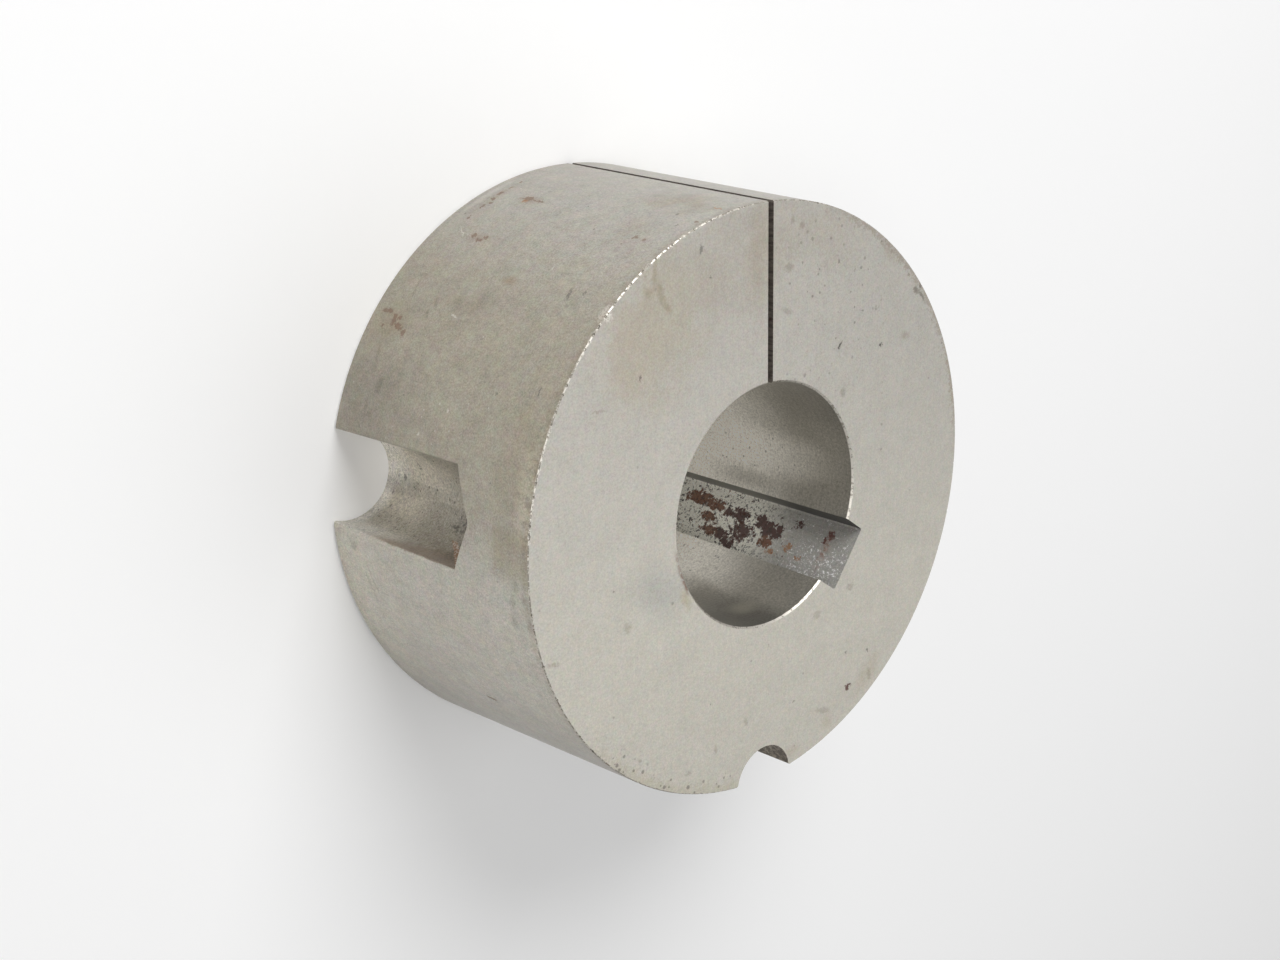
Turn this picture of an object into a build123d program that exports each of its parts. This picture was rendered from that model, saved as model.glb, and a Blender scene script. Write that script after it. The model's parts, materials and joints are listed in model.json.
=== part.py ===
"""Split taper bush: a one-piece clamping bush with a 4 degree tapered outside.

The bore runs along Z. The large end lies in the XY plane at z = 0, and the small
end faces +Z. The split is at +Y, and the other angles are counted from it.
"""

import os
from math import radians, tan

from build123d import *

# Turned body
large_end_diameter = 107.95
length = 50.8
taper_half_angle = 4.0
large_end_chamfer = 0.5
small_end_chamfer = 0.15

# Bore and keyway
bore_diameter = 42.0
bore_chamfer = 0.3
keyway_width = 12.0
keyway_depth = 4.0
keyway_corner_radius = 0.4
keyway_angle = 126.0

# Split
split_angle = 90.0
split_width = 1.2

# Half-round screw holes on the joint line with the hub, which carries their other halves
screw_axis_inset = 1.5
screw_hole_diameter = 16.4
screw_hole_angle = 83.5
screw_hole_end_wall = 13.7
drill_point_angle = 130.0
tapped_hole_diameter = 12.9
tapped_hole_angle = 181.5
tapped_hole_chamfer = 0.8
lip_radius = 0.6

# Derived sizes
large_radius = large_end_diameter / 2
taper = tan(radians(taper_half_angle))
small_radius = large_radius - length * taper
bore_radius = bore_diameter / 2
screw_circle_radius = (large_radius + small_radius) / 2 - screw_axis_inset
screw_hole_radius = screw_hole_diameter / 2
drill_point_length = screw_hole_radius / tan(radians(drill_point_angle / 2))
screw_hole_depth = length - screw_hole_end_wall - drill_point_length
tapped_hole_radius = tapped_hole_diameter / 2
from_large_end = (Align.CENTER, Align.CENTER, Align.MIN)


def body_radius(height):
    """Outside radius of the tapered body at a height above the large end."""
    return large_radius - height * taper


with BuildPart() as taper_bush:
    # Turned ring: tapered outside, straight bore, broken edges
    with BuildSketch(Plane.YZ):
        with BuildLine():
            Polyline(
                (bore_radius + bore_chamfer, 0),
                (large_radius - large_end_chamfer, 0),
                (body_radius(large_end_chamfer), large_end_chamfer),
                (body_radius(length - small_end_chamfer), length - small_end_chamfer),
                (small_radius - small_end_chamfer, length),
                (bore_radius + bore_chamfer, length),
                (bore_radius, length - bore_chamfer),
                (bore_radius, bore_chamfer),
                close=True,
            )
        make_face()
    revolve(axis=Axis.Z)

    # Keyway, broached from end to end
    with BuildSketch() as keyway:
        with Locations(Location((0, 0), split_angle - keyway_angle)):
            Rectangle(bore_radius + keyway_depth, keyway_width, align=(Align.MIN, Align.CENTER))
        floor_corners = keyway.vertices().sort_by_distance((0, 0))[-2:]
        fillet(floor_corners, keyway_corner_radius)
    extrude(amount=length, mode=Mode.SUBTRACT)

    # Saw cut through one side of the wall
    with BuildSketch():
        with Locations(Location((0, 0), split_angle)):
            Rectangle(large_radius, split_width, align=(Align.MIN, Align.CENTER))
    extrude(amount=length, mode=Mode.SUBTRACT)

    # Two plain half-holes, drilled from the large end and blind at a drill point
    with PolarLocations(
        screw_circle_radius,
        count=2,
        start_angle=split_angle - screw_hole_angle,
        angular_range=2 * screw_hole_angle,
        endpoint=True,
    ):
        Cylinder(screw_hole_radius, screw_hole_depth, align=from_large_end, mode=Mode.SUBTRACT)
        with Locations((0, 0, screw_hole_depth)):
            Cone(screw_hole_radius, 0, drill_point_length, align=from_large_end, mode=Mode.SUBTRACT)

    # One half-hole tapped from end to end for the removal screw, with a lead-in at the large end
    with PolarLocations(screw_circle_radius, count=1, start_angle=split_angle - tapped_hole_angle):
        Cylinder(tapped_hole_radius, length, align=from_large_end, mode=Mode.SUBTRACT)
        Cone(
            tapped_hole_radius + tapped_hole_chamfer,
            tapped_hole_radius,
            tapped_hole_chamfer,
            align=from_large_end,
            mode=Mode.SUBTRACT,
        )

    # Softened lips where the half-holes break out through the tapered side
    tapered_side = taper_bush.faces().filter_by(GeomType.CONE).sort_by(SortBy.AREA)[-2:]
    break_out_edges = tapered_side.edges().filter_by(lambda edge: abs(edge.center().X) > split_width)
    lips = break_out_edges.filter_by(lambda edge: edge.bounding_box().size.Z > screw_hole_depth / 2)
    fillet(lips, lip_radius)

taper_bush.part.label = "taper_bush"
os.makedirs("parts", exist_ok=True)
export_step(taper_bush.part, "parts/taper_bush.step")
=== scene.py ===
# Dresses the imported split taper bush: ground ends and taper, thread, worn edges and rust, on a pale floor
import json
from math import atan2, cos, degrees, hypot, pi, radians, sin, tan
from random import Random

import bmesh
import bpy
from mathutils import Euler, Matrix, Vector


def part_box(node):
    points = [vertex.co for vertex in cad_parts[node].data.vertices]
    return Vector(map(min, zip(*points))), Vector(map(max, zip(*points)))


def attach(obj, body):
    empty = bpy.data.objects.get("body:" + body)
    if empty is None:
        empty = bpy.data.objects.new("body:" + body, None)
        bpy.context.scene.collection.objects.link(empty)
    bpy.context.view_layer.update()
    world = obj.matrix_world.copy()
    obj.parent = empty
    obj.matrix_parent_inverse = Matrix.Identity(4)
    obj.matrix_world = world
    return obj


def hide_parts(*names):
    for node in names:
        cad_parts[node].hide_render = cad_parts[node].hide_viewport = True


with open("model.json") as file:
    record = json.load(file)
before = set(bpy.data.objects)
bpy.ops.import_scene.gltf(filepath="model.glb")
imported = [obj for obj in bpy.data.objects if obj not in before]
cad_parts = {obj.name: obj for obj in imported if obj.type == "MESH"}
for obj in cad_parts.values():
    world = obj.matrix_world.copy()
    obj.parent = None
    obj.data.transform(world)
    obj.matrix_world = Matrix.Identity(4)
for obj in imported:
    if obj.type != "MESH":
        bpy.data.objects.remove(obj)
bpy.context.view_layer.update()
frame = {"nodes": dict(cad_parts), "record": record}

mm = 0.001
mounts = {m["name"]: m for m in frame["record"]["mounts"]}
bushLow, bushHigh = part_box("taper_bush")
length = bushHigh.z - bushLow.z
boreRadius = mounts["shaft_bore"]["dims"]["r_mm"] * mm
removalHole = Vector(mounts["removal_screw_half_hole"]["pos_m"])
screwHole = Vector(mounts["left_screw_half_hole"]["pos_m"])
keywayMount = mounts["keyway"]
keywayOut = -Vector(keywayMount["axis"])                    # from the axis out through the keyway floor
keywayFloor = Vector(keywayMount["pos_m"]).dot(keywayOut)

bush = {
    "largeEndRadius": 53.975 * mm,
    "taperAngle": radians(4.0),                             # each side
    "keywayWidth": 12.0 * mm,
    "splitWidth": 1.2 * mm,
    "turnedDivisions": 180,                                 # planes through the axis that cut the round faces
    "mergeDistance": 0.001 * mm,
    "joinBelow": radians(0.05),                             # flatter edges than this leave the CAD faces
    "smoothBelow": radians(38.0),                           # flatter edges than this are shaded smooth
}

regions = ["smallEnd", "largeEnd", "taperedSide", "bore", "keyway", "split", "screwHoles", "brokenEdges",
           "thread"]
flatRegions = [regions.index(name) for name in ("smallEnd", "largeEnd", "keyway", "split")]

regionLimits = {
    "square": 0.99,                                         # how squarely a flat face looks along an axis
    "sloped": (0.3, 0.95),                                  # and the broken edges look neither up nor out
    "endBand": 0.1 * mm,
    "largeEdgeBand": 1.0 * mm,
    "smallEdgeBand": 0.5 * mm,
    "boreBand": 0.1 * mm,
    "sideBand": 0.35 * mm,
    "keywayReach": 1.3,                                     # of the bore's radius
}


def sideRadius(height):
    return bush["largeEndRadius"] - tan(bush["taperAngle"]) * height


def regionOf(face):
    at, out, near = face.calc_center_median(), face.normal, regionLimits
    reach = hypot(at.x, at.y)
    radial = (out.x * at.x + out.y * at.y) / max(reach, mm)
    across = abs(at.x * keywayOut.y - at.y * keywayOut.x)
    lowestSlope, highestSlope = near["sloped"]
    if out.z > near["square"] and at.z > length - near["endBand"]:
        return "smallEnd"
    if out.z < -near["square"] and at.z < near["endBand"]:
        return "largeEnd"
    if abs(out.x) > near["square"] and abs(at.x) < bush["splitWidth"] and at.y > 0:
        return "split"
    nearEnd = at.z < near["largeEdgeBand"] or at.z > length - near["smallEdgeBand"]
    if lowestSlope < abs(out.z) < highestSlope and nearEnd:
        return "brokenEdges"
    if reach < boreRadius + near["boreBand"] and radial < -0.9:
        return "bore"
    inKeyway = across < bush["keywayWidth"] * 0.51 and reach < boreRadius * near["keywayReach"]
    if inKeyway and at.dot(keywayOut) > 0:
        return "keyway"
    if abs(reach - sideRadius(at.z)) < near["sideBand"]:
        return "taperedSide"
    return "screwHoles"


def divideTurnedFaces(work):
    # planes through the axis cut the turned faces finer, and each new corner goes out to the true round
    reach = work.verts.layers.float.new("reach")
    for corner in work.verts:
        corner[reach] = hypot(corner.co.x, corner.co.y)
    turned = [regions.index(name) for name in ("taperedSide", "bore", "brokenEdges")]
    for i in range(bush["turnedDivisions"]):
        turn = pi * (i + 0.5) / bush["turnedDivisions"]
        faces = [f for f in work.faces if f.material_index in turned]
        edges = list(dict.fromkeys(e for f in faces for e in f.edges))
        corners = list(dict.fromkeys(v for f in faces for v in f.verts))
        bmesh.ops.bisect_plane(work, geom=corners + edges + faces, dist=2 * bush["mergeDistance"],
                               plane_co=(0, 0, 0), plane_no=(-sin(turn), cos(turn), 0))
    for corner in work.verts:
        now = hypot(corner.co.x, corner.co.y)
        if corner[reach] > now:
            corner.co.x *= corner[reach] / now
            corner.co.y *= corner[reach] / now


def bushBlank():
    work = bmesh.new()
    work.from_mesh(frame["nodes"]["taper_bush"].data)
    bmesh.ops.remove_doubles(work, verts=work.verts, dist=bush["mergeDistance"])
    bmesh.ops.dissolve_limit(work, angle_limit=bush["joinBelow"], verts=work.verts, edges=work.edges)
    for face in work.faces:
        face.material_index = regions.index(regionOf(face))
    divideTurnedFaces(work)
    return work


def meshObject(name, work):
    mesh = bpy.data.meshes.new(name)
    work.to_mesh(mesh)
    work.free()
    made = bpy.data.objects.new(name, mesh)
    bpy.context.collection.objects.link(made)
    return made


threadSizes = {                                             # 5/8 in, 11 threads to the inch, 55 degree form
    "pitch": 25.4 / 11 * mm,
    "outerRadius": 7.94 * mm,
    "pitchRadius": 7.2 * mm,
    "crestRadius": 6.45 * mm,
    "flankAngle": radians(27.5),
    "crestRound": 0.15 * mm,
    "rootRound": 0.14 * mm,
    "crestWiden": 1.06,                                     # times the width that the flanks give there
    "rootNarrow": 0.55,
    "cutFrom": 1.0 * mm,                                    # how far inside the crests the cutter starts
    "fullTo": 33.0 * mm,                                    # above this the tap's lead fades the grooves out
    "fadesBy": 39.0 * mm,
    "longestFade": 1.2,                                     # depths by which the last turns draw back
    "stepsPerTurn": 24,
}


def threadHalfWidth(radius):
    sizes = threadSizes
    return sizes["pitch"] / 4 - (radius - sizes["pitchRadius"]) * tan(sizes["flankAngle"])


def grooveOutline():                                        # radius and half width, mouth to root and back
    sizes = threadSizes
    root, crest = sizes["outerRadius"], sizes["crestRadius"]
    mouth = threadHalfWidth(crest) * sizes["crestWiden"]
    flankStart, flankEnd = crest + sizes["crestRound"], root - sizes["rootRound"]
    outline = [(crest - sizes["cutFrom"], mouth), (crest, mouth), (flankStart, threadHalfWidth(flankStart)),
               (flankEnd, threadHalfWidth(flankEnd)),
               (root, threadHalfWidth(root) * sizes["rootNarrow"])]
    return outline + [(radius, -half) for radius, half in reversed(outline)]


def threadCutter():
    # one groove section, swept up the removal hole as a right-handed helix
    pitch, steps, full = threadSizes["pitch"], threadSizes["stepsPerTurn"], threadSizes["fullTo"]
    work = bmesh.new()
    start = bushLow.z - pitch
    section = [work.verts.new(removalHole + Vector((radius, 0, start + rise)))
               for radius, rise in grooveOutline()]
    rim = [work.edges.new((section[i - 1], section[i])) for i in range(len(section))]
    turns = round((threadSizes["fadesBy"] + pitch - start) / pitch)
    bmesh.ops.spin(work, geom=section + rim, cent=removalHole, axis=(0, 0, 1), dvec=(0, 0, pitch / steps),
                   angle=2 * pi * turns, steps=turns * steps, use_merge=False, use_duplicate=False)
    bmesh.ops.holes_fill(work, edges=[e for e in work.edges if e.is_boundary], sides=0)
    bmesh.ops.recalc_face_normals(work, faces=work.faces)
    # spin gives its faces in a new order each run, so they are put in one order along a slanted line
    work.faces.sort(key=lambda face: face.calc_center_median().dot((1.0, 7.0, 90.0)))
    for corner in work.verts:                               # the tap's tapered lead
        fade = max(0.0, corner.co.z - full) / (threadSizes["fadesBy"] - full)
        out = Vector((corner.co.x - removalHole.x, corner.co.y - removalHole.y, 0))
        depth = threadSizes["outerRadius"] - threadSizes["crestRadius"]
        corner.co -= out.normalized() * min(fade, threadSizes["longestFade"]) * depth
    for face in work.faces:
        face.material_index = regions.index("thread")
    return meshObject("threadCutter", work)


nicks = {
    "seed": 11,
    "long": (0.25 * mm, 1.1 * mm),                          # along the rim
    "shorten": (0.5, 1.0),
    "deep": (0.09 * mm, 0.22 * mm),
    "tall": (0.8, 1.6),                                     # times the depth
    "lean": (0.5, 0.4),                                     # radians, either way
    "fills": 0.75,                                          # the most of its own stretch of rim
    "strays": 0.45,                                         # from the middle of that stretch
    "inset": 0.08 * mm,
    # height above the end, then the arcs: from, to in degrees, and how many
    "smallEnd": (-0.08 * mm, [(96, 150, 34), (150, 178, 12), (-178, -100, 14), (-80, 86, 22)]),
    "largeEnd": (0.3 * mm, [(100, 170, 22), (-172, -96, 12), (-84, 80, 22)]),
}


def nickCutter():
    # small worn-away bites along the two outer rims, kept apart so that no two touch
    draw = Random(nicks["seed"])
    leanX, leanY = nicks["lean"]
    work = bmesh.new()
    for end, height in (("smallEnd", length), ("largeEnd", 0.0)):
        reach = sideRadius(height) - nicks["inset"]
        above, arcs = nicks[end]
        for start, stop, count in arcs:
            room = radians(stop - start) / count
            for i in range(count):
                long = draw.uniform(*nicks["long"]) * draw.uniform(*nicks["shorten"])
                long = min(long, nicks["fills"] * room * reach)
                deep = draw.uniform(*nicks["deep"])
                stray = draw.uniform(-nicks["strays"], nicks["strays"]) * (room - long / reach)
                turn = radians(start) + room * (i + 0.5) + stray
                lean = Euler((draw.uniform(-leanX, leanX), draw.uniform(-leanY, leanY), 0)).to_matrix()
                shape = Matrix.Diagonal((deep, long / 2, deep * draw.uniform(*nicks["tall"]), 1))
                spot = Matrix.Translation((cos(turn) * reach, sin(turn) * reach, height + above))
                spot = spot @ Matrix.Rotation(turn, 4, "Z")
                bmesh.ops.create_icosphere(work, subdivisions=2, radius=1.0,
                                           matrix=spot @ lean.to_4x4() @ shape)
    for face in work.faces:
        face.material_index = regions.index("brokenEdges")
    return meshObject("nickCutter", work)


def carve(piece, cutters):
    for cutter in cutters:
        cut = piece.modifiers.new(cutter.name, "BOOLEAN")
        cut.operation = "DIFFERENCE"
        cut.solver = "EXACT"
        cut.object = cutter
        cut.material_mode = "INDEX"
    shaped = bpy.data.meshes.new_from_object(piece.evaluated_get(bpy.context.evaluated_depsgraph_get()))
    piece.modifiers.clear()
    piece.data = shaped
    for cutter in cutters:
        bpy.data.objects.remove(cutter)


def smoothAndCount(piece):
    work = bmesh.new()
    work.from_mesh(piece.data)
    bmesh.ops.remove_doubles(work, verts=work.verts, dist=bush["mergeDistance"])
    bmesh.ops.dissolve_degenerate(work, dist=bush["mergeDistance"], edges=work.edges)
    for face in work.faces:
        face.smooth = face.material_index not in flatRegions
    for edge in work.edges:
        edge.smooth = (edge.calc_face_angle(0.0) < bush["smoothBelow"]
                       and all(face.smooth for face in edge.link_faces))
    openEdges = sum(1 for edge in work.edges if not edge.is_manifold)
    print("bush mesh:", len(work.faces), "faces,", openEdges, "open edges,",
          round(work.calc_volume() / mm ** 3), "cubic mm")
    for index, name in enumerate(regions):
        print(" ", name, sum(1 for face in work.faces if face.material_index == index), "faces")
    work.to_mesh(piece.data)
    work.free()


class Wire:                                                 # a socket that takes part in sums
    def __init__(self, nodes, socket):
        self.nodes, self.socket = nodes, socket

    def also(self, output):                                 # another output of the same node
        return Wire(self.nodes, self.socket.node.outputs[output])

    def __add__(self, other):
        return self.nodes.maths("ADD", self, other)

    def __sub__(self, other):
        return self.nodes.maths("SUBTRACT", self, other)

    def __rsub__(self, other):
        return self.nodes.maths("SUBTRACT", other, self)

    def __mul__(self, other):
        return self.nodes.maths("MULTIPLY", self, other)

    def __pow__(self, other):
        return self.nodes.maths("POWER", self, other)

    def __gt__(self, other):
        return self.nodes.maths("GREATER_THAN", self, other)

    def __abs__(self):
        return self.nodes.maths("ABSOLUTE", self)

    __radd__ = __add__
    __rmul__ = __mul__


class Nodes:                                                # builds one node tree afresh
    def __init__(self, tree):
        self.tree = tree
        tree.nodes.clear()

    def node(self, kind, settings=None, inputs=None, output=0):
        made = self.tree.nodes.new("ShaderNode" + kind)
        for key, value in (settings or {}).items():
            setattr(made, key, value)
        for key, value in (inputs or {}).items():
            if isinstance(value, Wire):
                self.tree.links.new(value.socket, made.inputs[key])
            else:
                made.inputs[key].default_value = value
        return Wire(self, made.outputs[output])

    def maths(self, operation, *terms):
        return self.node("Math", {"operation": operation}, dict(enumerate(terms)))

    def most(self, masks):
        top = masks[0]
        for mask in masks[1:]:
            top = self.maths("MAXIMUM", top, mask)
        return top

    def backdropRays(self):                                 # 1 for the rays that show a background
        rays = self.node("LightPath", output="Is Camera Ray")
        return self.most([rays, rays.also("Is Glossy Ray"), rays.also("Is Transmission Ray")])

    def close(self, kind, shader):                          # kind is Material or World
        end = self.tree.nodes.new("ShaderNodeOutput" + kind)
        self.tree.links.new(shader.socket, end.inputs["Surface"])


class Finish(Nodes):                                        # one finish of the bush, lengths in mm
    def __init__(self, name):
        self.material = bpy.data.materials.new(name)
        self.material.use_nodes = True
        super().__init__(self.material.node_tree)
        self.place = self.vector("SCALE", self.node("TexCoord", output="Object"), scale=1 / mm)
        self.x, self.y, self.z = self.parts(self.place)
        self.radius = (self.x * self.x + self.y * self.y) ** 0.5
        self.turn = self.angle(self.y, self.x)
        self.ragged = self.wander(0.55, 0.75)               # places for marks with uneven outlines
        self.drifting = self.wander(6.0, 6.0)               # and for stains

    def parts(self, vector):
        return [self.node("SeparateXYZ", inputs={0: vector}, output=i) for i in range(3)]

    def angle(self, y, x):                                  # in degrees
        return self.maths("ARCTAN2", y, x) * degrees(1)

    def vector(self, operation, first, second=None, scale=None):
        inputs = {0: first}
        if second is not None:
            inputs[1] = second
        if scale is not None:
            inputs["Scale"] = scale
        output = "Value" if operation == "LENGTH" else "Vector"
        return self.node("VectorMath", {"operation": operation}, inputs, output)

    def rise(self, value, low, high):                       # 0 below low, 1 above high, smooth between
        return self.node("MapRange", {"interpolation_type": "SMOOTHSTEP"},
                         {"Value": value, "From Min": low, "From Max": high})

    def fall(self, value, low, high):                       # 1 below low, 0 above high
        return self.node("MapRange", {"interpolation_type": "SMOOTHSTEP"},
                         {"Value": value, "From Min": low, "From Max": high, "To Min": 1.0, "To Max": 0.0})

    def noise(self, size, detail=3.0, rough=0.55, stretch=(1, 1, 1), turn=0.0, shift=0.0):
        at = self.place
        if stretch != (1, 1, 1) or turn or shift:
            at = self.node("Mapping", {"vector_type": "TEXTURE"},
                           {0: at, 1: (shift, shift, shift), 2: (0, 0, radians(turn)), 3: stretch})
        return self.node("TexNoise", {}, {"Vector": at, "Scale": 1 / size,
                                          "Detail": detail, "Roughness": rough})

    def wander(self, size, reach):                          # the place, moved about by up to half of reach
        drift = self.noise(size, detail=3.0, rough=0.6).also("Color")
        drift = self.vector("SUBTRACT", drift, (0.5, 0.5, 0.5))
        return self.vector("ADD", self.place, self.vector("SCALE", drift, scale=2 * reach))

    def specks(self, cell, share, size, place=None):        # round specks in a share of the cells
        cells = self.node("TexVoronoi", {}, {"Vector": place or self.place, "Scale": 1 / cell}, "Distance")
        draw = cells.also("Color")
        pick, big = (self.node("SeparateColor", inputs={0: draw}, output=i) for i in (0, 1))
        edge = (0.3 + 0.7 * big) * (size / cell)
        return self.fall(cells - edge, -0.12, 0.0) * (pick > 1 - share)

    def mark(self, centre, halfSize, turns=(0, 0, 0), soft=0.5, place=None, square=False):
        local = self.node("Mapping", {"vector_type": "TEXTURE"},
                          {0: place or self.ragged, 1: centre, 2: tuple(map(radians, turns)), 3: halfSize})
        reach = self.vector("LENGTH", local)
        if square:
            reach = self.most(self.parts(self.vector("ABSOLUTE", local)))
        return self.fall(reach, 1 - soft, 1 + soft)

    def endMark(self, x, y, long, wide, turn=0, soft=0.5, place=None):       # on the small end
        return self.mark((x, y, length / mm), (long, wide, 3.0), (0, 0, turn), soft, place)

    def sideMark(self, turn, height, along, up, slant=0, soft=0.5, place=None, square=False):
        reach = sideRadius(height * mm) / mm
        centre = (cos(radians(turn)) * reach, sin(radians(turn)) * reach, height)
        return self.mark(centre, (3.0, along, up), (slant, 0, turn), soft, place, square)

    def floorMark(self, height, sideways, half, wide, slant=0, soft=0.5, place=None):       # in the keyway
        floorPlace = keywayFloor / mm
        centre = (keywayOut.x * floorPlace - keywayOut.y * sideways,
                  keywayOut.y * floorPlace + keywayOut.x * sideways, height)
        turn = degrees(atan2(keywayOut.y, keywayOut.x))
        return self.mark(centre, (3.0, wide, half), (slant, 0, turn), soft, place)

    def marks(self, kind, spots, **how):                    # many marks of one kind as one mask
        return self.most([kind(*spot, **how) for spot in spots])

    def paint(self, colour):
        return colour if isinstance(colour, Wire) else (*colour, 1.0)

    def mix(self, share, under, over, blend="MIX"):
        return self.node("Mix", {"data_type": "RGBA", "blend_type": blend},
                         {0: share, 6: self.paint(under), 7: self.paint(over)}, 2)

    def tint(self, share, under, over):                     # multiplies, so the grain below still shows
        return self.mix(share, under, over, "MULTIPLY")

    def films(self, colour, kind, rows, **how):             # rows of a tint's name, its share and a mark
        for name, share, spot in rows:
            colour = self.tint(kind(*spot, **how) * share, colour, tints[name])
        return colour

    def shade(self, colour, value):                         # a colour times a grey value
        grey = self.node("CombineXYZ", inputs={0: value, 1: value, 2: value})
        return self.mix(1.0, colour, grey, "MULTIPLY")

    def crumble(self, mask, grain=0.45):                    # breaks a soft mask into crumbs and holes
        return self.rise(mask + (self.noise(grain, detail=3, rough=0.7) - 0.5) * 2.2, 0.45, 0.65)

    def mottle(self, colour, share, size=0.9):              # faint uneven tinges of every colour
        return self.mix(share, colour, self.noise(size, detail=3, rough=0.6).also("Color"), "OVERLAY")

    def surface(self, colour, roughness, metallic, height=None, depth=0.0):
        inputs = {"Base Color": self.paint(colour), "Roughness": roughness, "Metallic": metallic}
        if height is not None:
            bump = {"Height": height, "Distance": depth * mm, "Strength": 1.0}
            inputs["Normal"] = self.node("Bump", {}, bump)
        return self.node("BsdfPrincipled", {}, inputs)

    def finishWith(self, *look):
        self.close("Material", self.surface(*look))
        return self.material


stains = {                                                  # what lies over the bare metal
    "darkRust": (0.088, 0.030, 0.026),
    "brownRust": (0.20, 0.080, 0.040),
    "rust": (0.16, 0.078, 0.044),
    "orangeRust": (0.38, 0.18, 0.075),
    "soot": (0.075, 0.068, 0.060),
    "rimSoot": (0.11, 0.095, 0.070),
    "scratch": (0.80, 0.78, 0.72),
}
tints = {                                                   # thin films that the metal shows through
    "olive": (0.84, 0.80, 0.68),
    "stain": (0.66, 0.60, 0.46),
    "brown": (0.78, 0.70, 0.60),
    "rimBrown": (0.66, 0.58, 0.50),
    "pink": (0.98, 0.90, 0.86),
    "rustPink": (0.84, 0.60, 0.53),
    "driedRust": (0.36, 0.16, 0.14),
    "maroon": (0.60, 0.49, 0.42),
    "blueGrey": (0.80, 0.83, 0.86),
    "violet": (0.82, 0.81, 0.83),
    "smudge": (0.60, 0.59, 0.57),
    "dark": (0.70, 0.68, 0.65),
    # the next tint is painted light, paling the lower part of the small end
    "light": (1.14, 1.14, 1.11),
    # the next tint pales rubbed metal, and is also painted light on the taper below the screw hole
    "wearAndPaintedLight": (1.20, 1.20, 1.18),
    "dust": (0.74, 0.71, 0.65),
}


endFinish = {
    "tone": (0.414, 0.396, 0.358),
    "roughness": 0.47,
    "metallic": 0.72,
    "grain": 0.80,
    "streaks": 0.12,
    "patches": 0.12,
    "clouds": 0.18,
    "mottle": 0.10,
    "relief": 0.006,                                        # mm
}


def endGround(f, values):
    # the ground face before its marks: even, with a fine grain and faint straight grinding lines
    grain = f.noise(0.30, detail=3, rough=0.75)
    lines = f.noise(0.45, detail=3, rough=0.7, stretch=(1, 24, 1))
    clouds = f.noise(5.0, detail=5, rough=0.65)
    patches = f.noise(1.2, detail=4, rough=0.7, shift=21.0)
    value = 1 + (grain - 0.5) * values["grain"] + (lines - 0.5) * values["streaks"]
    value = value + (clouds - 0.5) * values["clouds"] + (patches - 0.5) * values["patches"]
    colour = f.mottle(f.shade(values["tone"], value), values["mottle"])
    return colour, grain, lines


# marks on the small end: x, y, half length, half width in mm, turn in degrees, softness
smallEndMarks = {
    "driftingFilms": [("olive", 0.50, (-25.0, 33.5, 12.0, 9.0, 60, 0.6)),
                      ("pink", 0.40, (-30.0, 31.0, 7.5, 5.0, 60, 0.8)),
                      ("rimBrown", 0.24, (-9.0, 41.0, 11.0, 9.0, 0, 0.8)),
                      ("brown", 0.22, (9.0, 44.0, 12.0, 4.5, -8, 0.8))],
    "films": [("brown", 0.38, (-2.6, 42.5, 2.2, 7.0, 0, 0.8)),
              ("blueGrey", 0.75, (-25.0, -8.6, 4.6, 3.4, -40, 0.9))],
    "stainArc": [
        (-24.7, 42.0, 0.45, 2.2, -6, 0.7), (-23.6, 38.8, 0.6, 2.2, 18, 0.7),
        (-22.4, 36.6, 0.6, 1.2, 35, 0.7), (-26.2, 39.2, 0.8, 0.7, 0, 0.8)],
    "smears": [
        (34.3, 23.9, 1.1, 0.6, 0, 0.8), (4.2, 39.4, 1.0, 0.7), (3.8, 32.4, 1.2, 0.5, -20),
        (7.2, 45.9, 0.7, 0.5), (14.2, -42.4, 2.0, 0.55, -18), (26.9, -39.3, 0.5, 1.1, 15),
        (-5.7, -37.9, 0.35, 0.9, 15), (-13.0, -40.6, 0.3, 1.0), (-31.8, -12.6, 0.7, 0.8),
        (20.9, -20.2, 0.9, 0.7), (12.1, -23.1, 0.8, 0.7), (18.0, 16.4, 0.6, 0.8),
        (-46.4, -14.3, 1.3, 0.28, -12), (-19.5, -42.7, 0.7, 0.35), (5.0, 47.1, 0.4, 0.8),
        (-36.2, 23.0, 1.2, 0.22)],
    "rimFilms": [
        (29.3, 39.2, 2.6, 0.8, -50, 0.7), (26.0, -39.0, 4.0, 1.8, 40, 0.8),
        (15.2, -45.0, 1.3, 1.2, 0, 0.8), (6.0, -47.6, 1.6, 1.0, 0, 0.8)],
    "rimSoot": [(37.0, 31.6, 0.9, 0.55, -40), (38.7, 30.4, 1.2, 0.3, -52)],
    "pits": [
        (20.4, 37.3, 0.22, 0.28), (16.3, 39.1, 0.2, 0.35), (22.6, 29.9, 0.28, 0.2),
        (26.1, -34.2, 0.5, 0.22, -45), (20.2, -32.8, 0.3, 0.18, 30), (6.4, -38.0, 0.28, 0.24),
        (-14.0, -31.6, 0.2, 0.3), (-28.0, 26.6, 0.2, 0.35), (-13.4, 40.0, 0.3, 0.22),
        (-15.2, 44.4, 0.3, 0.7), (-34.5, -5.8, 0.25, 0.2)],
    "holes": [(17.0, 24.8, 0.72, 0.26, 55, 0.3), (27.8, 23.3, 0.28, 0.3, 0, 0.3)],
    "rustSpot": [(20.7, -39.9, 0.55, 0.75, -20, 0.3), (21.4, -39.5, 0.35, 0.3, 0, 0.3)],
    "boreRust": [(-20.2, -8.2, 1.0, 2.6, 22, 0.3), (-21.4, -4.4, 0.7, 1.5, 10)],
    "speckled": (13.0, 33.0, 14.0, 14.0, -20, 0.6),
    "boreOlive": (-19.4, -11.4, 0.8, 1.8, 30, 0.8),
    "wornCluster": (-34.6, 37.4, 1.6, 0.9, -48, 0.5),
}


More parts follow.
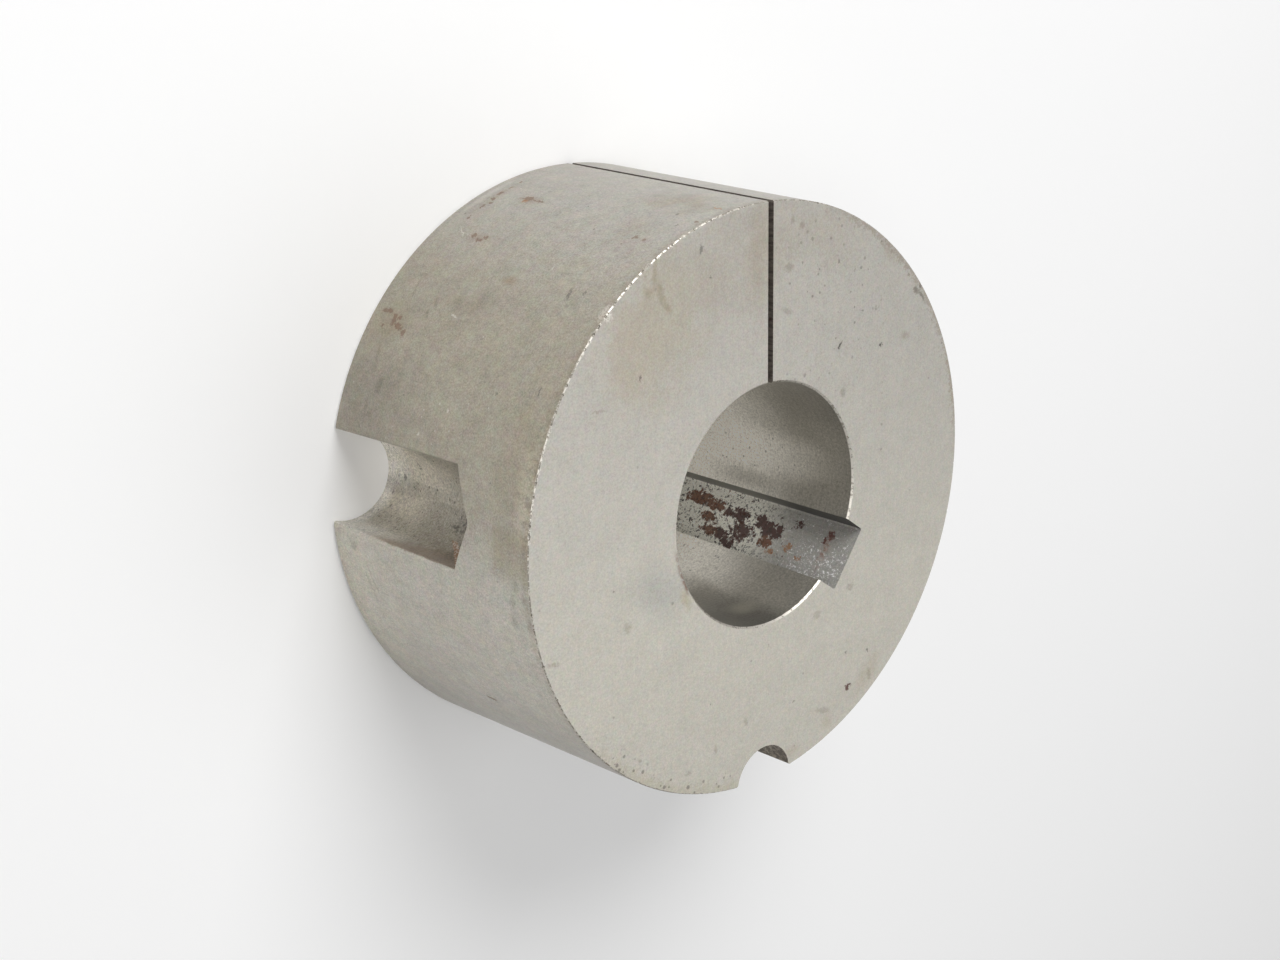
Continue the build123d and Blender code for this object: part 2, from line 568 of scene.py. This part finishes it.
def smallEndFinish():
    f = Finish("groundSmallEnd")
    spots = smallEndMarks
    colour, grain, lines = endGround(f, endFinish)
    inside = sideRadius(length) / mm - f.radius
    # films: olive and pink at the upper left, brown along the split and grey smears; painted light makes the
    # lower left paler
    colour = f.films(colour, f.endMark, spots["driftingFilms"], place=f.drifting)
    colour = f.films(colour, f.endMark, spots["films"])
    # painted light: the end is lightened towards the bottom
    colour = f.tint(f.fall(f.y, -30.0, 30.0), colour, tints["light"])
    colour = f.tint(f.marks(f.endMark, spots["stainArc"]) * 0.45, colour, tints["stain"])
    colour = f.tint(f.marks(f.endMark, spots["smears"]) * 0.62, colour, tints["dark"])
    # the worn and stained band along the rim
    rimNoise = f.noise(1.2, detail=3, rough=0.75)
    rightArc = f.rise(f.turn, -4.0, 12.0) * f.fall(f.turn, 62.0, 78.0)
    lowArc = f.fall(abs(f.turn + 118.0), 18.0, 28.0)
    brownBand = f.fall(inside + (rimNoise - 0.5) * 5.0, 0.2, 1.4) * rightArc
    oliveBand = f.fall(inside + (rimNoise - 0.5) * 6.0, 0.2, 2.6) * lowArc
    colour = f.tint(brownBand * 0.5, colour, tints["rimBrown"])
    colour = f.tint(f.marks(f.endMark, spots["rimFilms"]) * 0.35, colour, tints["brown"])
    colour = f.mix(f.marks(f.endMark, spots["rimSoot"]) * 0.6, colour, stains["rimSoot"])
    colour = f.tint(oliveBand * 0.4, colour, tints["olive"])
    # pits and specks, crowded at the upper right and along two stretches of the rim
    crowd = f.endMark(*spots["speckled"])
    pits = f.most([f.specks(2.2, 0.20, 0.42) * 0.6, f.specks(1.5, 0.74, 0.42) * crowd * 0.9,
                   f.specks(1.1, 0.78, 0.46) * lowArc * f.fall(inside, 1.6, 4.6),
                   f.specks(1.2, 0.50, 0.46) * rightArc * f.fall(inside, 0.8, 2.2),
                   f.marks(f.endMark, spots["pits"])])
    colour = f.mix(pits * 0.55, colour, stains["soot"])
    holes = f.marks(f.endMark, spots["holes"])
    colour = f.mix(holes * 0.9, colour, stains["soot"])
    rustSpot = f.marks(f.endMark, spots["rustSpot"])
    colour = f.mix(rustSpot * 0.92, colour, stains["darkRust"])
    boreRust = f.fall(f.radius - boreRadius / mm, 0.2, 1.1) * f.marks(f.endMark, spots["boreRust"])
    colour = f.mix(boreRust * f.rise(rimNoise, 0.42, 0.52) * 0.85, colour, stains["rust"])
    colour = f.tint(f.endMark(*spots["boreOlive"]) * 0.8, colour, tints["olive"])
    # bright wear right at the rim, in dashes
    wornArc = 0.1 + 0.6 * (f.rise(f.turn, 92.0, 102.0) * f.fall(f.turn, 168.0, 178.0))
    worn = f.fall(inside + (f.noise(0.5, detail=2) - 0.5) * 1.6, 0.0, 0.25) * wornArc
    worn = f.most([worn, f.endMark(*spots["wornCluster"]) * f.rise(grain, 0.38, 0.5)])
    colour = f.mix(worn * 0.6, colour, stains["scratch"])
    dirt = f.most([pits, holes, rustSpot, boreRust])
    roughness = endFinish["roughness"] + dirt * 0.3 + (grain - 0.5) * 0.2
    height = lines * 0.4 + grain * 0.6 - f.most([pits, holes]) * 1.5
    metallic = endFinish["metallic"] * (1 - dirt * 0.9)
    return f.finishWith(colour, roughness, metallic, height, endFinish["relief"])


def largeEndFinish():
    f = Finish("groundLargeEnd")
    colour, grain, lines = endGround(f, endFinish)
    pits = f.most([f.specks(1.8, 0.12, 0.4), f.specks(5.0, 0.2, 1.1, f.ragged)])
    colour = f.tint(f.rise(f.noise(11.0, detail=4, shift=17.0), 0.5, 0.7) * 0.8, colour, tints["olive"])
    colour = f.mix(pits * 0.6, colour, stains["soot"])
    roughness = endFinish["roughness"] + pits * 0.3
    return f.finishWith(colour, roughness, endFinish["metallic"], lines + grain, endFinish["relief"])


sideFinish = {
    "tone": (0.412, 0.391, 0.349),
    "roughness": 0.46,
    "metallic": 0.72,
    "grain": 1.45,
    "bands": 0.12,
    "patches": 0.45,
    "clouds": 0.34,
    "mottle": 0.10,
    "wideMottle": 0.08,
    "relief": 0.008,                                        # mm
}

# marks on the taper: turn in degrees, height, half length round it and half height in mm, slant, softness
sideMarks = {
    "violetFilm": (158, 8, 7, 11, 0, 0.7),                  # a cool film by the screw hole's mouth
    "driftingFilms": [("dark", 0.55, (137, 21.5, 2.4, 3.6, 25, 0.8)),
                      ("brown", 0.22, (158, 47, 12, 4.0, 0, 0.8)),
                      ("brown", 0.60, (101, 41, 3.0, 6.0, 0, 0.8)),
                      ("pink", 0.45, (113, 41, 2.2, 4.0, 0, 0.9))],
    "films": [("brown", 0.75, (130.7, 27.0, 0.8, 1.6, 0, 0.8)),
              ("blueGrey", 0.40, (129.0, 24.5, 1.2, 2.0, 0, 0.9))],
    "rubbedStrip": (165, 50.0, 8.0, 2.2, 0, 0.8),
    "squareStain": (176.3, 46.9, 3.7, 4.2, 0, 0.32),
    "smudges": [
        (-173.6, 49.9, 3.0, 0.5, 0, 0.8), (-178.2, 47.7, 1.1, 0.6), (-175.4, 46.8, 1.3, 0.5),
        (-176.4, 49.3, 1.1, 0.4), (-172.6, 50.1, 2.4, 0.4), (-171.5, 46.4, 1.0, 0.6, 0, 0.8),
        (-174.8, 5.8, 0.8, 1.1, 20), (-168.0, 8.0, 3.4, 0.2, 14), (-168.5, 9.4, 3.0, 0.2, 14),
        (155.0, 9.6, 1.6, 0.6, -10), (159.4, 7.6, 2.0, 0.3, 6), (149.5, 6.4, 1.3, 0.3, 12),
        (136.7, 7.4, 2.2, 0.2, 12), (133.7, 7.0, 0.5, 1.2), (138.4, 14.4, 1.0, 0.5, 30),
        (140.8, 13.8, 0.9, 0.4, 30), (160.5, 9.0, 0.5, 0.8), (-171.9, 28.8, 0.3, 0.6)],
    "sparkling": (160, 26, 9, 14, 0, 0.8),
    "pits": [
        (130.5, 41.0, 1.2, 0.26, 15), (129.7, 43.8, 0.4, 0.2), (115, 33.4, 0.3, 0.22),
        (148.6, 46, 0.7, 0.16), (151, 37.4, 0.25, 0.2), (105.4, 43.8, 0.3, 0.25), (109, 46.9, 0.3, 0.25)],
    "scratches": [(122.6, 7.0, 1.5, 0.13, 55), (139.8, 20.2, 0.9, 0.13, 80), (157, 22.4, 0.2, 0.2),
                  (156, 28, 0.2, 0.18), (161.2, 22.4, 0.18, 0.25), (126, 33.6, 0.35, 0.18)],
    "rubbedPatch": (112, 2.2, 5.0, 0.7, 0, 0.7),
    "rust": [                                               # a broken chain by the large end, single spots
        (105.1, 4.1, 0.4, 0.3), (108, 4.4, 0.8, 0.3), (110.5, 4.3, 0.8, 0.35), (112.5, 4.8, 0.6, 0.5),
        (113.8, 5.6, 0.4, 0.45), (115.3, 4.9, 0.8, 0.25), (118.8, 5.0, 0.6, 0.25),
        (110.3, 12.0, 0.9, 1.5), (110.4, 15.0, 0.3, 1.8), (122.9, 10.8, 0.5, 0.7),
        (123.7, 12.7, 0.5, 0.8), (123.0, 13.8, 0.5, 0.6), (114.8, 42.8, 0.5, 0.5), (115, 45, 0.4, 0.5),
        (141.9, 4.0, 0.5, 1.6, 10), (143.3, 6.6, 1.4, 0.5, 10), (144.3, 8.6, 0.5, 1.6, -20),
        (145.2, 10.4, 0.7, 0.5), (142.6, 7.8, 0.5, 0.5), (145, 4.4, 0.4, 0.4), (-147.5, 29.8, 0.4, 1.3),
        (106.8, 49.2, 0.3, 0.5)],
    "freshRust": [(100.1, 48.0, 0.25, 1.2), (111.2, 12.2, 0.4, 0.9)],
    "haze": [(110.4, 13.0, 1.2, 3.0, 0, 0.8), (143.5, 6.5, 2.8, 4.4, 25, 0.9),
             (111, 4.6, 4.6, 1.0, 0, 0.8), (123.2, 12.2, 0.9, 2.2, 0, 0.9)],
    "wornCluster": (132.4, 50.3, 1.4, 0.9),
}


def taperedSideFinish():
    f = Finish("groundTaper")
    v, spots = sideFinish, sideMarks
    top = length / mm
    grain = f.noise(0.30, detail=3, rough=0.8)
    bands = f.noise(1.1, detail=4, rough=0.65, stretch=(14, 14, 1))
    clouds = f.noise(5.0, detail=5, rough=0.65)
    patches = f.noise(1.3, detail=4, rough=0.75, stretch=(1, 1, 1.8), turn=20)
    value = 1 + (grain - 0.5) * v["grain"] + (bands - 0.5) * v["bands"] + (clouds - 0.5) * v["clouds"]
    value = value + (patches - 0.5) * v["patches"]
    colour = f.mottle(f.mottle(f.shade(v["tone"], value), v["mottle"]), v["wideMottle"], size=3.0)
    # films: olive down to the screw hole, brown towards the rim and by the split; painted light below the
    # hole, stronger near the large end
    aside = f.angle(f.y, 0 - f.x)                           # 0 at the left, positive up to the split
    colour = f.tint(f.rise(aside, -6.0, 16.0) * f.fall(aside, 40.0, 72.0) * 0.65, colour, tints["olive"])
    colour = f.tint(f.sideMark(*spots["violetFilm"], place=f.drifting) * 0.8, colour, tints["violet"])
    colour = f.films(colour, f.sideMark, spots["driftingFilms"], place=f.drifting)
    colour = f.films(colour, f.sideMark, spots["films"])
    colour = f.tint(f.sideMark(*spots["rubbedStrip"]) * f.rise(patches, 0.4, 0.55), colour, tints["wearAndPaintedLight"])
    squareStain = f.sideMark(*spots["squareStain"], square=True) * f.rise(patches, 0.3, 0.5)
    colour = f.tint(squareStain * 0.42, colour, tints["stain"])
    # painted light: the taper below the screw hole is made lighter, and lighter again near the large end
    low = f.fall(aside + (clouds - 0.5) * 20.0, -10.0, 12.0) * f.rise(aside, -46.0, -22.0)
    colour = f.tint(low, colour, tints["wearAndPaintedLight"])
    colour = f.tint(low * f.fall(f.z, 1.0, 16.0), colour, tints["wearAndPaintedLight"])
    colour = f.tint(f.marks(f.sideMark, spots["smudges"]) * 0.42, colour, tints["smudge"])
    # light grains and dark pits all over
    sparkle = f.most([f.specks(1.0, 0.10, 0.22),
                      f.specks(1.1, 0.25, 0.30) * f.sideMark(*spots["sparkling"])])
    pits = f.most([f.specks(1.3, 0.10, 0.24), f.specks(2.8, 0.10, 0.40),
                   f.marks(f.sideMark, spots["pits"])])
    colour = f.mix(sparkle * 0.30, colour, stains["scratch"])
    colour = f.mix(pits * 0.55, colour, stains["soot"])
    scratches = f.most([f.marks(f.sideMark, spots["scratches"]), f.sideMark(*spots["rubbedPatch"]) * 0.5])
    colour = f.mix(scratches * 0.4, colour, stains["scratch"])
    rust = f.crumble(f.marks(f.sideMark, spots["rust"], soft=0.6) * 0.85, 0.6)
    fresh = f.crumble(f.marks(f.sideMark, spots["freshRust"]) * 0.9)
    colour = f.tint(f.marks(f.sideMark, spots["haze"]) * 0.45, colour, tints["brown"])
    colour = f.mix(rust * 0.62, colour, stains["rust"])
    colour = f.mix(fresh * 0.5, colour, stains["orangeRust"])
    # wear at the small end's rim, in dashes, with grime below it
    wornNoise = (f.noise(0.5, detail=2) - 0.5) * 1.6
    wornArc = 0.1 + 0.7 * (f.rise(f.turn, 92.0, 102.0) * f.fall(f.turn, 165.0, 178.0))
    worn = f.most([f.fall((top - f.z) + wornNoise, 0.0, 0.35) * wornArc,
                   f.sideMark(*spots["wornCluster"]) * f.rise(grain, 0.38, 0.5)])
    colour = f.mix(worn * 0.45, colour, stains["scratch"])
    grime = f.fall((top - f.z) + (f.noise(1.4, detail=3, rough=0.7, shift=8.0) - 0.5) * 5.0, 0.1, 1.6)
    colour = f.tint(grime * 0.35, colour, tints["rimBrown"])
    dirt = f.most([pits, rust])
    roughness = v["roughness"] + dirt * 0.3 + (grain - 0.5) * 0.25
    height = grain * 0.7 + bands * 0.3 - pits * 1.4
    return f.finishWith(colour, roughness, v["metallic"] * (1 - dirt * 0.9), height, v["relief"])


boreFinish = {
    # a pale tone, as painted light low in the bore
    "tone": (1.0, 0.965, 0.885),
    "paintedShadeTone": 0.46,                                        # painted shade: tone towards the small end
    "roughness": 0.38,
    "metallic": 0.05,
    "oilyMetallic": 0.80,
    "grain": 2.0,
    "mottle": 0.16,
    "wideMottle": 0.10,
    "sparkle": (1.06, 1.02, 0.94),
    "relief": 0.008,                                        # mm
}


def boredFinish():
    f = Finish("boredMetal")
    v = boreFinish
    top = length / mm
    grain = f.noise(0.42, detail=4, rough=0.85)
    feed = f.noise(0.35, detail=2, rough=0.6, stretch=(30, 30, 1))          # boring tool marks run round
    clouds = f.noise(7.0, detail=4)
    # painted light and shade: pale low down, painted shade towards the small end, beside the keyway, near the
    # split and along the bottom; the same mask makes the metal more metallic, like an oily film
    height = f.z + (clouds - 0.5) * 10.0 - f.fall(abs(f.turn - 3.0), 4.0, 17.0) * 9.0
    beside = f.rise(f.turn, -22.0, -15.0) * f.fall(f.turn, -13.0, -5.0) * f.rise(f.z, 13.0, 24.0) * 0.65
    nearSplit = f.rise(f.turn, 16.0, 52.0) * 0.6
    under = f.fall(f.turn, -84.0, -62.0) * f.rise(height, 18.0, 33.0)
    oilAndPaintedShade = f.most([f.rise(height, 17.0, 42.0), beside, nearSplit, under])
    value = 1 + (grain - 0.5) * v["grain"] + (feed - 0.5) * 0.3 + (clouds - 0.5) * 0.2
    colour = f.mottle(f.mottle(f.shade(v["tone"], value), v["mottle"]), v["wideMottle"], size=3.0)
    colour = f.mix(oilAndPaintedShade, colour, f.shade(colour, v["paintedShadeTone"]))
    # painted shade: darker along the bottom towards the small end
    colour = f.shade(colour, 1 - 0.45 * f.fall(f.turn, -86.0, -72.0) * f.rise(height, 30.0, 44.0))
    # painted glints: bright specks in the colour, low in the bore
    sparkle = f.rise(f.noise(0.7, detail=3, rough=0.8, shift=13.0), 0.60, 0.68) * f.fall(oilAndPaintedShade, 0.3, 1.0)
    pits = f.specks(1.0, 0.30, 0.30) * f.fall(oilAndPaintedShade, 0.3, 1.0)
    colour = f.mix(sparkle * 0.6, colour, v["sparkle"])
    colour = f.mix(pits * 0.5, colour, stains["soot"])
    colour = f.mix(f.mark((1.2, -20.9, 43.0), (2.4, 3.0, 2.0), soft=0.8) * 0.3, colour, tints["olive"])
    lowRust = f.crumble(f.most([f.mark((-19.8, -8.0, top - 0.6), (3.0, 2.6, 0.9)),
                                f.mark((-21, -3.5, top), (3.0, 2.0, 0.6))]))
    colour = f.mix(lowRust * 0.7, colour, stains["rust"])
    roughness = v["roughness"] + (grain - 0.5) * 0.25 + pits * 0.2
    metallic = v["metallic"] + oilAndPaintedShade * (v["oilyMetallic"] - v["metallic"])
    return f.finishWith(colour, roughness, metallic, feed * 0.4 + grain * 0.6, v["relief"])


keyFinish = {
    "tone": (0.48, 0.47, 0.445),
    "deepTone": (1.0, 0.98, 0.89),                          # pale and dusty towards the large end
    "shadedWallTone": 0.21,                                       # painted shade on the side walls, as a share of the floor's tone
    "roughness": 0.45,
    "metallic": 0.30,
    "mottle": 0.10,
    "glint": (1.0, 1.0, 1.0),
    "relief": 0.02,                                         # mm
}

# marks on the keyway floor: height, place across it, half height and half width in mm, slant, softness
keywayMarks = {
    "flakes": [
        (11.0, 2.7, 3.6, 1.5), (16.0, 2.3, 2.6, 1.1), (15.0, -0.6, 2.4, 1.0), (18.5, -2.9, 4.2, 1.1),
        (22.5, -4.0, 2.2, 1.0), (19.5, 1.6, 1.6, 0.9), (22.8, 2.0, 2.2, 1.3), (24.5, -1.2, 3.0, 1.9),
        (28.5, 1.8, 1.6, 1.2), (31.5, 0.6, 2.8, 1.7), (31.0, -2.0, 1.8, 0.8)],
    "loneFlake": (37.2, 3.3, 1.1, 0.9),
    "freshRust": [(36.9, -1.3, 1.4, 1.2, 0, 0.8), (40.0, -2.8, 0.9, 0.8, 0, 0.7),
                  (33.0, -3.2, 1.8, 0.7, 0, 0.8)],
    "brownFlake": (31.0, -2.0, 2.2, 1.4),
    "driedRust": [(45.1, 3.1, 1.0, 1.0), (44.2, 1.9, 0.5, 0.9)],
    "trail": (45.0, 0.2, 0.7, 3.2, 0, 0.9),
}


def keywayFinish():
    f = Finish("broachedKeyway")
    v, spots = keyFinish, keywayMarks
    floorPlace = keywayFloor / mm
    out = f.x * keywayOut.x + f.y * keywayOut.y
    sideways = f.y * keywayOut.x - f.x * keywayOut.y
    onFloor = f.rise(out, floorPlace - 0.3, floorPlace - 0.1)
    grain = f.noise(0.30, detail=3, rough=0.8)
    broach = f.noise(0.4, detail=3, rough=0.6, stretch=(1, 1, 30))          # broach marks run lengthwise
    value = 1 + (grain - 0.5) * 1.2 + (broach - 0.5) * 0.3
    deep = f.fall(f.z, 24.0, 38.0)
    colour = f.mottle(f.shade(f.mix(deep, v["tone"], v["deepTone"]), value), v["mottle"])
    # painted shade: the side walls are made darker than the floor
    colour = f.mix(1 - onFloor, colour, f.shade(colour, v["shadedWallTone"]))
    # black pits crowd the inner part of the floor, painted glints the outer part
    crust = f.noise(0.70, detail=4, rough=0.75)
    crowded = crust + f.noise(4.0, detail=2, shift=9.0) * 0.12
    pitted = f.rise(crowded, 0.61, 0.66) * (0.10 + 0.9 * deep) * onFloor
    colour = f.mix(pitted * 0.95, colour, stains["soot"])
    shine = f.rise(f.z, 26.0, 38.0) * onFloor
    glints = f.noise(0.55, detail=3, rough=0.85, shift=31.0)
    glints = glints + f.fall(sideways, -3.0, 4.0) * f.rise(f.z, 34.0, 42.0) * 0.05
    sparkle = f.rise(glints, 0.61, 0.65) * shine
    colour = f.mix(sparkle * 0.9, colour, v["glint"])
    # dark flakes of rust, browner at the inner end, with orange crumbs, and a dried spot and its trail
    flakes = f.marks(f.floorMark, spots["flakes"], place=f.wander(1.3, 1.4))
    flakes = f.rise(flakes + (f.noise(1.0, detail=5, rough=0.8, shift=3.0) - 0.5) * 4.6, 0.42, 0.56)
    flakes = flakes * f.fall(f.z, 36.0, 38.0) * onFloor
    flakes = f.most([flakes, f.crumble(f.floorMark(*spots["loneFlake"]) * 0.8, 0.7)])
    fresh = f.crumble(f.marks(f.floorMark, spots["freshRust"]) * 0.62, 0.6)
    brown = f.most([f.fall(f.z, 15.0, 22.0), f.floorMark(*spots["brownFlake"]),
                    f.noise(1.6, detail=3, shift=5.0) * 0.6])
    rust = f.mix(f.rise(brown * (0.4 + grain), 0.28, 0.60), stains["darkRust"], stains["brownRust"])
    colour = f.mix(flakes * 0.92, colour, rust)
    blackened = f.rise(f.noise(0.7, detail=4, rough=0.8, shift=2.0), 0.50, 0.60) * flakes
    colour = f.mix(blackened * 0.75, colour, stains["soot"])
    colour = f.mix(fresh * (0.5 + grain * 0.6), colour, stains["orangeRust"])
    dried = f.crumble(f.marks(f.floorMark, spots["driedRust"]) * 0.7, 0.6)
    colour = f.tint(dried * 0.9, colour, tints["driedRust"])
    trail = f.floorMark(*spots["trail"]) * f.rise(crust, 0.42, 0.56)
    colour = f.tint(trail, colour, tints["rustPink"])
    dirt = f.most([flakes, fresh, pitted])
    roughness = v["roughness"] + dirt * 0.4
    metallic = v["metallic"] * (1 - f.most([dirt, deep, sparkle]) * 0.9)
    return f.finishWith(colour, roughness, metallic, grain * 0.6 - dirt * 1.2, v["relief"])


holeFinish = {
    # a pale tone, as painted light inside the holes
    "tone": (0.80, 0.77, 0.70),
    "roughness": 0.5,
    "metallic": 0.5,
    "grain": 2.0,
    "rings": 0.10,
    "clouds": 0.6,
    "mottle": 0.20,
    "wideMottle": 0.14,
    "relief": 0.03,                                         # mm
}


def screwHoleFinish():
    f = Finish("drilledHoles")
    v = holeFinish
    turn = f.angle(f.y - screwHole.y / mm, f.x - screwHole.x / mm)          # round the left hole
    grain = f.noise(0.35, detail=3, rough=0.75)
    rings = f.noise(0.8, detail=3, stretch=(10, 10, 1))
    clouds = f.noise(2.4, detail=4, rough=0.65)
    value = 1 + (grain - 0.5) * v["grain"] + (rings - 0.5) * v["rings"] + (clouds - 0.5) * v["clouds"]
    colour = f.mottle(f.mottle(f.shade(v["tone"], value), v["mottle"]), v["wideMottle"], size=3.0)
    # partly dirt, partly painted shade: darker towards the drilled end, along one dark trail and down both
    # lips
    uneven = (clouds - 0.5) * 8.0
    dirtAndPaintedShade = f.most([f.rise(f.z + uneven, 10.0, 28.0) * 0.8,
                    f.rise(turn + uneven, 18.0, 34.0) * f.rise(f.z, 8.0, 16.0) * 0.6,
                    f.fall(abs(turn + 22.0 - f.z * 0.4), 4.0, 16.0) * 0.45,
                    f.fall(turn + uneven, -66.0, -40.0) * 0.5,
                    f.rise(f.z + uneven, 8.0, 18.0) * f.fall(turn, -24.0, -12.0) * 0.75])
    colour = f.mix(dirtAndPaintedShade, colour, f.shade(colour, 0.45))
    dusty = f.most([f.rise(f.z + uneven * 0.5, 1.0, 10.0),
                    f.fall(turn, -28.0, -12.0) * f.rise(f.z, 1.0, 4.0)])
    colour = f.tint(dusty * f.rise(turn, -92.0, -72.0), colour, tints["dust"])
    crumbs = f.rise(f.noise(0.8, detail=3, rough=0.8, shift=4.0), 0.60, 0.68)
    colour = f.mix(crumbs * 0.30, colour, stains["scratch"])
    lip = f.fall(turn - f.z * 1.4 + uneven + 36.0, -84.0, -64.0) * f.rise(f.z, 6.0, 16.0)
    colour = f.tint(lip * (0.35 + grain * 0.8), colour, tints["maroon"])
    deepEnd = f.rise(f.z + uneven * 0.6, 19.0, 25.0) * f.fall(abs(turn + 36.0), 10.0, 24.0)
    pits = f.most([f.specks(1.6, 0.25, 0.46, f.ragged), f.specks(0.9, 0.30, 0.30),
                   f.specks(2.8, 0.25, 0.85, f.ragged), f.crumble(deepEnd * 0.55, 0.8)])
    colour = f.mix(pits * 0.6, colour, stains["soot"])
    # an orange strip of rust at the drilled end
    strip = f.fall(abs(f.z + turn * 0.22 - 12.6), 0.4, 1.3) * f.fall(turn, -60.0, -54.0)
    rust = f.crumble(strip) * f.rise(f.z, 20.0, 24.0)
    colour = f.mix(rust * 0.55, colour, stains["orangeRust"])
    colour = f.mix(rust * f.rise(grain, 0.48, 0.58) * 0.5, colour, stains["scratch"])
    dirt = f.most([pits, rust])
    height = grain * 0.8 + clouds * 0.4 - pits
    metallic = v["metallic"] * (1 - dirt * 0.8)
    return f.finishWith(colour, v["roughness"] + dirt * 0.3, metallic, height, v["relief"])


splitTones = {"sawn": (0.22, 0.19, 0.16), "dark": (0.10, 0.085, 0.072)}


def splitFinish():
    f = Finish("sawnSplit")
    grain = f.noise(0.5, detail=4, rough=0.7, stretch=(1, 1, 6))
    colour = f.mix(f.rise(grain, 0.35, 0.65), splitTones["dark"], splitTones["sawn"])
    colour = f.mix(f.rise(f.noise(2.0, detail=3), 0.58, 0.68) * 0.6, colour, stains["darkRust"])
    return f.finishWith(colour, 0.7, 0.2, grain, 0.05)


edgeFinish = {
    "tone": (0.60, 0.57, 0.51),
    "dullTone": (0.31, 0.29, 0.25),
    "roughness": 0.42,
    "dullRoughness": 0.62,
    "metallic": 0.85,
}


def brokenEdgeFinish():
    f = Finish("wornEdges")
    v = edgeFinish
    spread = f.noise(0.75, detail=3, rough=0.75)
    arc = f.rise(f.turn, 92.0, 100.0) * f.fall(f.turn, 165.0, 178.0)
    boreArc = f.fall(f.radius, boreRadius / mm + 0.5, boreRadius / mm + 1.0)
    bright = f.rise(spread + 0.045 * arc + 0.09 * boreArc, 0.50, 0.56)
    colour = f.mix(bright, v["dullTone"], v["tone"])
    rust = f.rise(f.noise(1.7, detail=3, shift=7.0), 0.60, 0.68) * (1 - bright)
    colour = f.mix(rust * 0.5, colour, stains["rust"])
    roughness = v["roughness"] + (v["dullRoughness"] - v["roughness"]) * (1 - bright)
    return f.finishWith(colour, roughness, v["metallic"], spread, 0.02)


threadTone = (0.36, 0.34, 0.30)


def threadFinish():
    f = Finish("tappedThread")
    grain = f.noise(0.5, detail=3)
    colour = f.shade(threadTone, 0.75 + grain * 0.5)
    colour = f.mix(f.rise(f.noise(2.4, detail=3), 0.55, 0.68) * 0.6, colour, stains["darkRust"])
    return f.finishWith(colour, 0.5, 0.65, grain, 0.01)


finishes = {"smallEnd": smallEndFinish, "largeEnd": largeEndFinish, "taperedSide": taperedSideFinish,
            "bore": boredFinish, "keyway": keywayFinish, "split": splitFinish, "screwHoles": screwHoleFinish,
            "brokenEdges": brokenEdgeFinish, "thread": threadFinish}


def makeBush():
    bushMetal = meshObject("ground_taper_bush", bushBlank())
    for region in regions:
        bushMetal.data.materials.append(finishes[region]())
    carve(bushMetal, [threadCutter(), nickCutter()])
    smoothAndCount(bushMetal)
    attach(bushMetal, "root")
    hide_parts("taper_bush")
    print("bush finished with", len(bushMetal.data.materials), "metal finishes")


floorSheet = {
    "size": 3.0,                                            # half width in metres
    "colour": (0.97, 0.97, 0.97),
    "roughness": 0.95,
    "fadesOut": (500.0, 1400.0),                            # mm from the bush, into the backdrop
}
lighting = {
    "world": 0.28,
    "backdrop": 0.6,                                        # how bright the room and the far floor look
    "lamps": {                                              # place in metres, width in metres, watts
        "topPanel": ((0.0, 0.85, 0.65), 0.7, 7.4),
        "frontPanel": ((0.45, -0.20, 0.95), 0.9, 2.45),
        "sidePanel": ((-0.60, 0.10, 0.85), 0.6, 2.2),
    },
}
white = (1, 1, 1, 1)


def makeFloor():
    work = bmesh.new()
    bmesh.ops.create_grid(work, x_segments=8, y_segments=8, size=floorSheet["size"])
    paper = meshObject("paperFloor", work)
    f = Finish("palePaper")
    far = f.backdropRays() * f.rise(f.radius, *floorSheet["fadesOut"])
    sheet = f.surface(floorSheet["colour"], floorSheet["roughness"], 0.0)
    glow = f.node("Emission", {}, {"Color": white, "Strength": lighting["backdrop"]})
    f.close("Material", f.node("MixShader", {}, {0: far, 1: sheet, 2: glow}))
    paper.data.materials.append(f.material)
    print("floor laid")


camera = {
    "place": (-164.48 * mm, 74.72 * mm, 208.16 * mm),
    "turn": (-15.934, -41.209, -1.740),                     # degrees about X, Y and Z
    "lens": 40.123,
    "sensor": 36.0,
}


def makeCamera():
    data = bpy.data.cameras.new("benchCamera")
    data.lens = camera["lens"]
    data.sensor_width = camera["sensor"]
    data.clip_start = 0.01
    made = bpy.data.objects.new("benchCamera", data)
    made.location = camera["place"]
    made.rotation_euler = tuple(map(radians, camera["turn"]))
    bpy.context.collection.objects.link(made)
    bpy.context.scene.camera = made


def makeLights():
    for name, (place, width, power) in lighting["lamps"].items():
        data = bpy.data.lights.new(name, "AREA")
        data.shape = "DISK"
        data.size = width
        data.energy = power
        lamp = bpy.data.objects.new(name, data)
        lamp.location = place
        lamp.rotation_euler = (-Vector(place)).to_track_quat("-Z", "Y").to_euler()
        bpy.context.collection.objects.link(lamp)
    world = bpy.data.worlds.new("paleRoom")
    world.use_nodes = True
    bpy.context.scene.world = world
    n = Nodes(world.node_tree)
    room, backdrop = (n.node("Background", {}, {"Color": white, "Strength": lighting[key]})
                      for key in ("world", "backdrop"))
    n.close("World", n.node("MixShader", {}, {0: n.backdropRays(), 1: room, 2: backdrop}))
    print("lights placed")


makeBush()
makeFloor()
makeCamera()
makeLights()
bpy.context.scene.view_settings.view_transform = "Standard"
